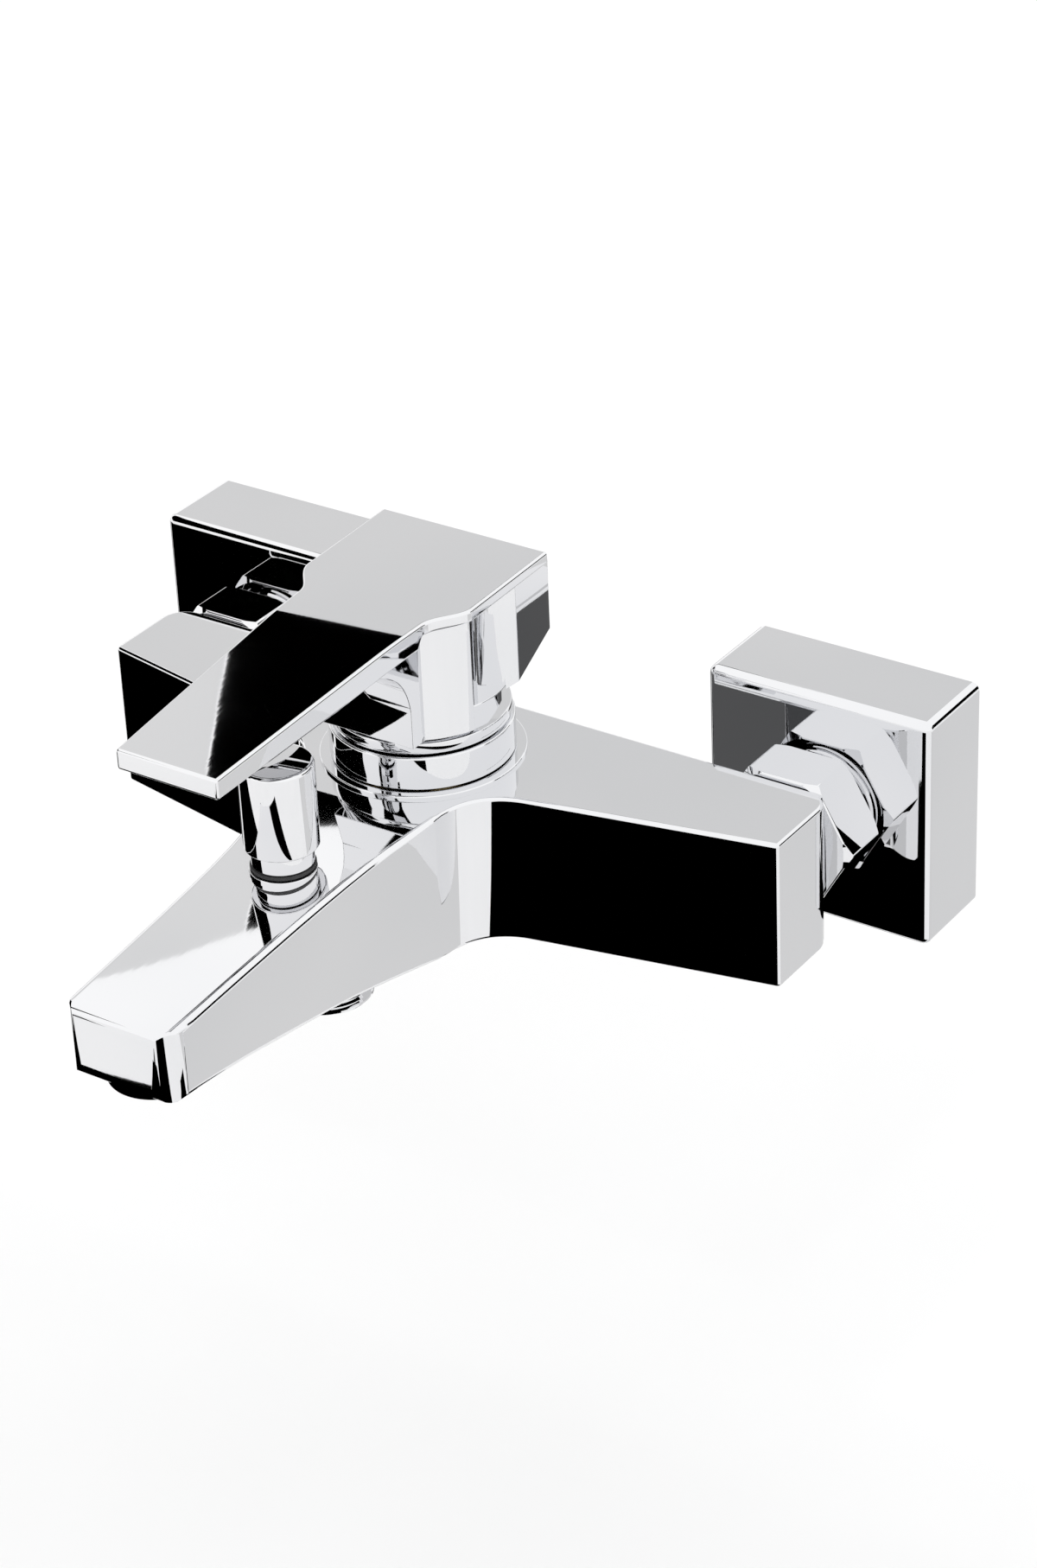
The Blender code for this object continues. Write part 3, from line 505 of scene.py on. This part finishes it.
def makeNut(side, label):
    kit = unionNut
    x = side * inletX
    low, high = kit["front"], kit["front"] + kit["length"]
    corner = kit["flats"] / 2 / cos(radians(30))
    piece = lathe("unionNut" + label, rod(corner, low, high), finishes["chrome"], (x, 0, 0), "Y", 6)
    roundEdges(piece, 0.45 * mm, 3)
    # turned chamfer that rounds off the six corners at both ends
    chamfer = kit["chamfer"]
    envelope = lathe("nutEnvelope", ((0, low - mm), (corner - 1.9 * mm, low - mm),
                                     (corner - 1.9 * mm, low), (corner + 0.05 * mm, low + chamfer),
                                     (corner + 0.05 * mm, high - chamfer),
                                     (corner - 1.9 * mm, high), (corner - 1.9 * mm, high + mm),
                                     (0, high + mm)), None, (x, 0, 0), "Y", 96)
    lip = lathe("cutLip", rod(9.6 * mm, low - mm, high), None, (x, 0, 0), "Y", 72)
    thread = lathe("cutThread", threadGroove(13.4 * mm, low + 1.6 * mm, high + mm), None,
                   (x, 0, 0), "Y", 72)
    merge(piece, "INTERSECT", envelope)
    merge(piece, "DIFFERENCE", lip, thread)
    bake(piece, envelope, lip, thread)
    evenNormals(piece)
    standFor(piece, "nut_" + label.lower(), "chrome", "union_nut_" + label.lower())


def threadGroove(radius, low, high, pitch=1.8 * mm, depth=0.25 * mm):
    corners = [(0, low), (radius, low)]
    height = low + pitch / 2
    while height < high - pitch:
        corners += [(radius, height), (radius + depth, height + pitch / 2)]
        height += pitch
    return corners + [(radius, high), (0, high)]


def threadedRod(radius, low, high, pitch=1.8 * mm, depth=0.5 * mm):
    corners = [(radius - depth, low)]
    height = low + pitch / 2
    while height < high - pitch:
        corners += [(radius, height), (radius - depth, height + pitch / 2)]
        height += pitch
    return corners + [(radius - depth, high)]


def makeUnion(side, label):
    x = side * inletX
    drop = -7 * mm
    front = threadedRod(13.1 * mm, -30.9 * mm, -18 * mm)
    profile = [(0, -30.9 * mm)] + front + [(13.1 * mm, -13 * mm), (0, -13 * mm)]
    piece = lathe("wallUnion" + label, profile, finishes["chrome"], (x, 0, 0), "Y", 72)
    shoulder = lathe("joinShoulder", ((0, -18 * mm), (17.5 * mm, -18 * mm, 0.6 * mm),
                                      (17.5 * mm, -11 * mm, 0.6 * mm), (0, -11 * mm)),
                     None, (x, 0, drop / 2), "Y", 80)
    wallEnd = lathe("joinWallEnd", [(0, -14 * mm)] + [(10.4 * mm, -14 * mm)]
                    + threadedRod(10.4 * mm, -2 * mm, 14 * mm) + [(0, 14 * mm)],
                    None, (x, 0, drop), "Y", 72)
    frontBore = lathe("cutFront", rod(9 * mm, -32 * mm, -14.5 * mm), None, (x, 0, 0), "Y", 64)
    wallBore = lathe("cutWall", rod(7.4 * mm, -16.5 * mm, 16 * mm), None, (x, 0, drop), "Y", 64)
    merge(piece, "UNION", shoulder, wallEnd)
    merge(piece, "DIFFERENCE", frontBore, wallBore)
    bake(piece, shoulder, wallEnd, frontBore, wallBore)
    evenNormals(piece)
    standFor(piece, "faucet_body", "chrome", "wall_union_" + label.lower())


for side, label in ((-1, "Left"), (1, "Right")):
    makeCover(side, label)
    makeNut(side, label)
    makeUnion(side, label)
print("wall side done")


tower = {"ringRadius": 20.5 * mm, "ringLow": 15.4 * mm, "ringTop": 23.2 * mm,
         "collarRadius": 19.8 * mm, "collarTop": 26.4 * mm, "ballRadius": 21 * mm,
         "holeRadius": 13.5 * mm, "wall": 1.3 * mm}


def makeTower():
    kit = tower
    centre = (0, axisY, 0)
    ring = ((19.4 * mm, kit["ringLow"]), (kit["ringRadius"], kit["ringLow"], 0.3 * mm),
            (kit["ringRadius"], kit["ringTop"], 0.5 * mm), (16.2 * mm, kit["ringTop"], 0.2 * mm),
            (16.2 * mm, 21.6 * mm), (19.4 * mm, 21.6 * mm))
    piece = lathe("towerRing", ring, finishes["chrome"], centre, steps=128)
    evenNormals(piece)
    standFor(piece, "faucet_body", "chrome", "cover_ring")
    inner = kit["ballRadius"] - kit["wall"]

    low, radius = kit["ringTop"] + 0.4 * mm, kit["collarRadius"]
    dome = [(radius - 0.3 * mm, low), (radius, low + 0.3 * mm),
            (radius, kit["collarTop"], 0.3 * mm)]
    dome += arcPoints((0, pivotZ), kit["ballRadius"],
                      degrees(asin((kit["collarTop"] - pivotZ) / kit["ballRadius"])),
                      degrees(acos(kit["holeRadius"] / kit["ballRadius"])), 8)
    dome += arcPoints((0, pivotZ), inner, degrees(acos(kit["holeRadius"] / inner)),
                      degrees(asin((low - pivotZ) / inner)), 12)
    piece = lathe("towerDome", dome, finishes["chrome"], centre, steps=128, sharpAngle=50)
    standFor(piece, "faucet_body", "chrome", "dome_cap")


makeTower()
print("tower done")


lever = {
    "back": -44.2 * mm, "tip": -150.3 * mm, "half": 21.6 * mm, "bladeHalf": 16 * mm,
    "tipHalf": 12.8 * mm, "shoulder": (-72.5 * mm, -83.5 * mm),
    "topBack": 59.0 * mm, "topBend": 57.65 * mm, "topTip": 53.1 * mm,
    "bend": (-87 * mm, -98 * mm),  # where the flat top starts to fall, and where it falls fully
    "plate": 2.9 * mm, "blade": 5.6 * mm, "tipThick": 4.7 * mm,
    "taperStart": -112 * mm,      # from here the blade thins towards its tip
    "edge": 0.75 * mm, "hubFront": -84.2 * mm, "cavity": 21.6 * mm,
    "hubRadius": 20.3 * mm, "skirtLow": 27.4 * mm, "skirtTop": 33.2 * mm,
    "neck": 12.5 * mm,            # half width of the flare under the blade
    "reliefSlope": 0.568,         # rise of the relief below the square back
}


def leverTop(y):
    kit = lever
    bendStart, bendEnd = kit["bend"]
    middle = (bendStart + bendEnd) / 2
    flat = (kit["topBack"] - kit["topBend"]) / (kit["back"] - middle)
    fall = (kit["topBend"] - kit["topTip"]) / (middle - kit["tip"])
    if y > bendStart:
        return kit["topBack"] + (y - kit["back"]) * flat
    if y < bendEnd:
        return kit["topTip"] + (y - kit["tip"]) * fall
    share = (bendStart - y) / (bendStart - bendEnd)
    level = kit["topBack"] + (bendStart - kit["back"]) * flat
    run = bendStart - y
    return level - run * (flat + (fall - flat) * share / 2)


def leverHalf(y):
    kit = lever
    start, end = kit["shoulder"]
    if y > start:
        return kit["half"]
    if y > end:
        share = (start - y) / (start - end)
        return kit["half"] + (1 - cos(pi * share)) / 2 * (kit["bladeHalf"] - kit["half"])
    share = (end - y) / (end - kit["tip"])
    return kit["bladeHalf"] + share * (kit["tipHalf"] - kit["bladeHalf"])


def leverPlate():
    kit = lever
    start, end = kit["shoulder"]
    stations = [kit["back"], -58 * mm]
    stations += [start + (end - start) * i / 16 for i in range(17)]
    stations += [kit["hubFront"] - mm] + [(-86 - 1.5 * i) * mm for i in range(10)]
    stations += [kit["taperStart"], -130 * mm, kit["tip"]]
    bm = bmesh.new()
    section = None
    for y in stations:
        half, high = leverHalf(y), leverTop(y)
        if y > kit["hubFront"] - mm:
            thick = kit["plate"]
        else:
            share = max((kit["taperStart"] - y) / (kit["taperStart"] - kit["tip"]), 0)
            thick = kit["blade"] + share * (kit["tipThick"] - kit["blade"])
        corners = ((half, high), (half, high - thick), (-half, high - thick), (-half, high))
        following = [bm.verts.new((x, y, z)) for x, z in corners]
        if section:
            for i in range(4):
                bm.faces.new((section[i - 1], section[i], following[i], following[i - 1]))
        else:
            bm.faces.new(following)
        section = following
    bm.faces.new(section)
    return finishMesh("mixerLever", bm, finishes["chrome"])


def leverHub():
    kit = lever
    inset = 0.12 * mm
    back, front = kit["back"] - inset, kit["hubFront"]
    half, radius = kit["half"] - inset, kit["hubRadius"]
    low, step = kit["skirtLow"], kit["skirtTop"]
    reliefHigh = 40.5 * mm
    reliefEnd = back - (reliefHigh - low) / kit["reliefSlope"]
    flare = bendPoints((-99 * mm, 50.4 * mm), (-86 * mm, 48.5 * mm), (front, 36 * mm), 24)
    side = [(back, reliefHigh), (back, 57.2 * mm), (-60 * mm, 56.6 * mm), (-99 * mm, 52.6 * mm)]
    side += flare + [(front, low), (reliefEnd, low)]
    hub = prism("joinHub", side, -30 * mm, 30 * mm, axis="X")
    hubArc = arcPoints((0, axisY), radius, -20, -52, 20)
    niche = bendPoints((half, -57 * mm), (14.5 * mm, -65 * mm), hubArc[0], 20)
    halfOutline = [(half, -40 * mm)] + niche + hubArc[1:]
    halfOutline += [(kit["neck"], -84 * mm), (kit["neck"], -102 * mm)]
    plan = prism("crossHub", halfOutline + mirrorPoints(halfOutline), 20 * mm, 62 * mm)
    merge(hub, "INTERSECT", plan)
    roundEdges(hub, 0.6 * mm, 4, angle=40)
    # round skirt that shows in the niches, cut off by the same relief
    skirt = lathe("joinSkirt", ((0, low), (radius - 0.15 * mm, low, 0.4 * mm),
                                (radius - 0.15 * mm, step, 0.3 * mm), (0, step)),
                  None, (0, axisY, 0), steps=128)
    drop = 12 * mm
    relief = prism("cutRelief", ((reliefEnd - drop, low - drop * kit["reliefSlope"]),
                                 (back + drop, reliefHigh + drop * kit["reliefSlope"]),
                                 (back + drop, low - drop)), -30 * mm, 30 * mm, axis="X")
    merge(skirt, "DIFFERENCE", relief)
    return hub, skirt, plan, relief


def makeLever():
    kit = lever
    piece = leverPlate()
    roundEdges(piece, kit["edge"], 4)
    hub, skirt, plan, relief = leverHub()
    ball = bmesh.new()
    bmesh.ops.create_uvsphere(ball, u_segments=96, v_segments=64, radius=kit["cavity"])
    bmesh.ops.translate(ball, vec=(0, axisY, pivotZ), verts=ball.verts)
    cavity = finishMesh("cutCavity", ball)
    side = 3.8 * mm + room
    socket = block("cutSocket", (-side, axisY - side, 30 * mm), (side, axisY + side, 49.4 * mm + room))
    screwWay = lathe("cutScrewWay", rod(2.7 * mm, axisY, -40 * mm), None, (0, 0, 46.5 * mm), "Y", 48)
    merge(piece, "UNION", hub, skirt)
    merge(piece, "DIFFERENCE", cavity, socket, screwWay)
    bake(piece, hub, skirt, plan, relief, cavity, socket, screwWay)
    evenNormals(piece)
    standFor(piece, "lever", "chrome", "handle_lever")
    plug = lathe("indicatorPlug", ((0, -47.4 * mm), (2.4 * mm, -47.4 * mm),
                                   (2.4 * mm, -44.3 * mm, 0.4 * mm), (0, -44.3 * mm)),
                 finishes["indicator"], (0, 0, 46.5 * mm), "Y", 48)
    standFor(plug, "lever", "indicator", "indicator_plug")


makeLever()
print("lever done")


diverter = {"knobRadius": 8.15 * mm, "knobLow": 16.8 * mm, "knobTop": 36.8 * mm,
            "bonnetRadius": 6.8 * mm, "stemRadius": 2.8 * mm}


returnSpring = {"turns": 3.5, "low": -7.3 * mm, "high": 0.7 * mm, "radius": 4.6 * mm,
                "wire": 0.4 * mm, "seat": 1.1 * mm,
                "pressed": 0.30}      # share of its length left with the knob right up


def makeDiverter():
    kit = diverter
    centre = (0, diverterY, 0)
    foot = padTop + room
    shoulder = foot + 0.8 * mm + room
    bonnet = ((3.1 * mm, 1.5 * mm), (6.1 * mm, 1.5 * mm), (6.1 * mm, shoulder),
              (kit["bonnetRadius"], shoulder, 0.15 * mm), (kit["bonnetRadius"], 16.5 * mm, 0.35 * mm),
              (3.1 * mm, 16.5 * mm))
    standFor(lathe("diverterBonnet", bonnet, finishes["chrome"], centre, steps=96),
             "faucet_body", "chrome", "diverter_bonnet")
    ring = ((6.4 * mm, foot), (7.1 * mm, foot, 0.25 * mm), (7.1 * mm, foot + 0.8 * mm, 0.25 * mm),
            (6.4 * mm, foot + 0.8 * mm))
    standFor(lathe("diverterFootRing", ring, finishes["rubber"], centre, steps=96),
             "faucet_body", "rubber", "diverter_foot_ring")
    hole = kit["stemRadius"] + room
    low, top, radius = kit["knobLow"], kit["knobTop"], kit["knobRadius"]
    knob = ((0, 33 * mm), (hole, 33 * mm), (hole, low), (radius, low, 0.45 * mm),
            (radius, top, 0.95 * mm), (0, top))
    standFor(lathe("diverterKnob", knob, finishes["chrome"], centre, steps=96),
             "diverter", "chrome", "diverter_knob")


def makeSpring():
    # return spring between the bonnet and the valve disc; the real one is pressed flat as the knob is
    # pulled up, this one keeps one length
    kit = returnSpring
    perTurn, sides = 40, 12
    count = int(kit["turns"] * perTurn)
    bm = bmesh.new()
    before = None
    for i in range(count + 1):
        angle = 2 * pi * i / perTurn
        outward = Vector((cos(angle), sin(angle), 0))
        height = kit["low"] + (kit["high"] - kit["low"]) * i / count
        middle = outward * kit["radius"] + Vector((0, diverterY, height))
        around = [2 * pi * k / sides for k in range(sides)]
        loop = [bm.verts.new(middle + (outward * cos(a) + Vector((0, 0, sin(a)))) * kit["wire"])
                for a in around]
        if before:
            for k in range(sides):
                bm.faces.new((before[k - 1], before[k], loop[k], loop[k - 1]))
        else:
            bm.faces.new(loop)
        before = loop
    bm.faces.new(before)
    piece = finishMesh("returnSpring", bm, finishes["steel"])
    standFor(piece, "faucet_body", "steel", "diverter_spring")
    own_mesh(piece)


def makeOutlets():
    nipple = [(4.6 * mm, -26.6 * mm), (9.7 * mm, -26.6 * mm, 0.2 * mm), (10.3 * mm, -26 * mm)]
    height = -25.6 * mm
    while height < -22.4 * mm:    # half inch hose thread
        nipple += [(10.3 * mm, height), (9.75 * mm, height + 0.55 * mm), (10.3 * mm, height + 1.1 * mm)]
        height += 1.1 * mm
    nipple += [(10.3 * mm, -21.6 * mm), (7 * mm, -21.6 * mm), (7 * mm, -12.2 * mm),
               (4.6 * mm, -12.2 * mm)]
    standFor(lathe("showerNipple", nipple, finishes["chrome"], (0, outletY, 0), steps=96),
             "faucet_body", "chrome", "shower_outlet_nipple")
    housing = ((7.8 * mm, -13.8 * mm, 0.25 * mm), (10.65 * mm, -13.8 * mm, 0.35 * mm),
               (10.65 * mm, -4 * mm), (8.7 * mm, -4 * mm), (8.7 * mm, -12.8 * mm),
               (7.8 * mm, -12.8 * mm))
    standFor(lathe("aeratorHousing", housing, finishes["chrome"], (0, aeratorY, 0), steps=96),
             "faucet_body", "chrome", "aerator_housing")


def makeAeratorInsert():
    piece = lathe("aeratorInsert", ((0, -12.5 * mm), (8.4 * mm, -12.5 * mm, 0.3 * mm),
                                    (8.4 * mm, -5 * mm), (0, -5 * mm)),
                  finishes["white_plastic"], (0, aeratorY, 0), steps=64)
    tools = []
    for count, radius in ((1, 0), (6, 2.5 * mm), (12, 4.6 * mm), (18, 6.7 * mm)):
        for i in range(count):
            angle = 2 * pi * i / count
            spot = (radius * cos(angle), aeratorY + radius * sin(angle), 0)
            tools.append(lathe(f"cutJet{count}_{i}", rod(0.6 * mm, -14 * mm, -4 * mm), None, spot,
                               steps=10))
    merge(piece, "DIFFERENCE", *tools)
    bake(piece, *tools)
    evenNormals(piece)
    standFor(piece, "faucet_body", "white_plastic", "aerator_insert")


makeDiverter()
makeSpring()
makeOutlets()
makeAeratorInsert()
print("diverter and outlets done")


for row in frame["record"]["subparts"]:
    node = nodes[row["node"]]
    if node.hide_render:
        continue
    node.data.materials.clear()
    node.data.materials.append(finishes[row["material_slot"]])
    for polygon in node.data.polygons:
        polygon.use_smooth = True
    node.data.set_sharp_from_angle(angle=radians(32))
print("inner pieces finished")


studio = {
    "floorZ": -0.20, "floorSize": 6.0, "floorTone": 0.92,
    "world": 1.15,
    "screenAway": 0.70, "screenBearing": 39,
    "turn": 35.11, "pitch": 30.18, "roll": -2.60, "distance": 0.9532,
    "slide": (-0.01527, -0.02355), "lens": 94.6, "sensor": 36,
}


def makeFloor():
    kit = studio
    bm = bmesh.new()
    bmesh.ops.create_grid(bm, x_segments=8, y_segments=8, size=kit["floorSize"])
    floor = finishMesh("paleFloor", bm)
    floor.location = (0, 0, kit["floorZ"])
    material, tree, shader = newMaterial("palePaint")
    tone = kit["floorTone"]
    grain = objectNoise(tree, 6, 3)
    tree.links.new(tintBetween(tree, grain, (tone, tone, tone), (tone - 0.02,) * 3),
                   shader.inputs["Base Color"])
    shader.inputs["Roughness"].default_value = 0.9
    floor.data.materials.append(material)


def glowMaterial(name, strength):
    material, tree, shader = newMaterial(name)
    shader.inputs["Base Color"].default_value = (0, 0, 0, 1)
    shader.inputs["Roughness"].default_value = 1
    shader.inputs["Specular IOR Level"].default_value = 0
    shader.inputs["Emission Color"].default_value = (1, 1, 1, 1)
    shader.inputs["Emission Strength"].default_value = strength
    return material


def hideCard(card):
    # only reflections see the cards
    card.visible_camera = False
    card.visible_diffuse = False
    card.visible_shadow = False


def studioCard(name, centre, aim, width, height, strength):
    bm = bmesh.new()
    bmesh.ops.create_grid(bm, x_segments=1, y_segments=1, size=0.5)
    bmesh.ops.scale(bm, vec=(width, height, 1), verts=bm.verts)
    card = finishMesh(name, bm, glowMaterial(name + "Cloth", strength))
    facing = (Vector(aim) - Vector(centre)).to_track_quat("Z", "Y").to_matrix().to_4x4()
    card.matrix_world = Matrix.Translation(Vector(centre)) @ facing
    hideCard(card)


def outlineCard(name, points, strength):
    bm = bmesh.new()
    bm.faces.new([bm.verts.new(point) for point in points])
    hideCard(finishMesh(name, bm, glowMaterial(name + "Cloth", strength)))


def floorCard(name, outline, strength):
    height = studio["floorZ"] + 5 * mm
    outlineCard(name, [(x, y, height) for x, y in outline], strength)


def screenCard(name, outline, strength):
    # outline: metres to the right and above the inlets, on an upright screen behind the lever
    away, bearing = studio["screenAway"], radians(studio["screenBearing"])
    ahead, across = Vector((-sin(bearing), cos(bearing), 0)), Vector((cos(bearing), sin(bearing), 0))
    points = [Vector((0, axisY, z)) + ahead * away + across * side for side, z in outline]
    outlineCard(name, points, strength)


def makeWorld():
    world = bpy.data.worlds.new("softStudio")
    world.use_nodes = True
    level = studio["world"]
    back = world.node_tree.nodes["Background"]
    back.inputs["Color"].default_value = (level, level, level, 1)
    scene.world = world


def makeCamera():
    kit = studio
    turn, pitch, roll = (radians(kit[key]) for key in ("turn", "pitch", "roll"))
    right = Vector((cos(turn), sin(turn), 0))
    back = Vector((sin(turn) * cos(pitch), -cos(turn) * cos(pitch), sin(pitch)))
    up = back.cross(right)
    level = right * cos(roll) + up * sin(roll)
    upright = up * cos(roll) - right * sin(roll)
    slide = kit["slide"]
    place = level * slide[0] + upright * slide[1] + back * kit["distance"]
    data = bpy.data.cameras.new("studioCamera")
    data.lens = kit["lens"]
    data.sensor_width = kit["sensor"]
    data.clip_start = 0.01
    camera = bpy.data.objects.new("studioCamera", data)
    camera.matrix_world = Matrix((
        (level.x, upright.x, back.x, place.x), (level.y, upright.y, back.y, place.y),
        (level.z, upright.z, back.z, place.z), (0, 0, 0, 1)))
    scene.collection.objects.link(camera)
    scene.camera = camera


makeFloor()
makeWorld()
makeCamera()
# black cloth on the floor at the front left: the fronts of the arms and covers look into it
floorCard("lowFlag", ((-0.75, -0.41), (-0.12, -0.41), (-0.12, -0.56), (0.25, -0.56), (0.25, -0.02),
                      (-0.75, -0.02)), 0.0)
# dark grey cloth on the floor at the back left, seen by way of the right cover's side
floorCard("greyCloth", ((-0.60, 0.05), (0.02, 0.05), (0.02, 0.60), (-0.60, 0.60)), 0.12)
# upright screen behind: the flat tops look into its grey part, the sloping blade into the black
screenCard("greyScreen", ((-0.45, 0.24), (0.45, 0.24), (0.45, 0.505), (-0.45, 0.505)), 0.76)
screenCard("greyWing", ((-0.45, 0.506), (-0.080, 0.506), (-0.096, 0.560), (-0.122, 0.655),
                        (-0.45, 0.655)), 0.82)
screenCard("blackPanel", ((-0.079, 0.506), (0.13, 0.506), (0.13, 0.655), (-0.121, 0.655),
                          (-0.095, 0.560)), 0.0)
# black curtain on the left: the ring and the left nut see it in their second reflection
outlineCard("leftCurtain", ((-0.45, -0.62, 0.10), (-0.45, 0.02, 0.10), (-0.45, 0.02, 0.52),
                            (-0.45, -0.62, 0.52)), 0.0)
# pale grey cloth on the floor at the back right tones down the faces that look right
floorCard("paleCloth", ((0.06, 0.02), (0.60, 0.02), (0.60, 0.55), (0.06, 0.55)), 0.76)
# black board low at the back right
studioCard("nutFlag", (0.80, 0.75, 0.20), (0, -0.08, 0.01), 1.0, 0.45, 0.0)
scene.view_settings.view_transform = "Standard"
print("studio ready")
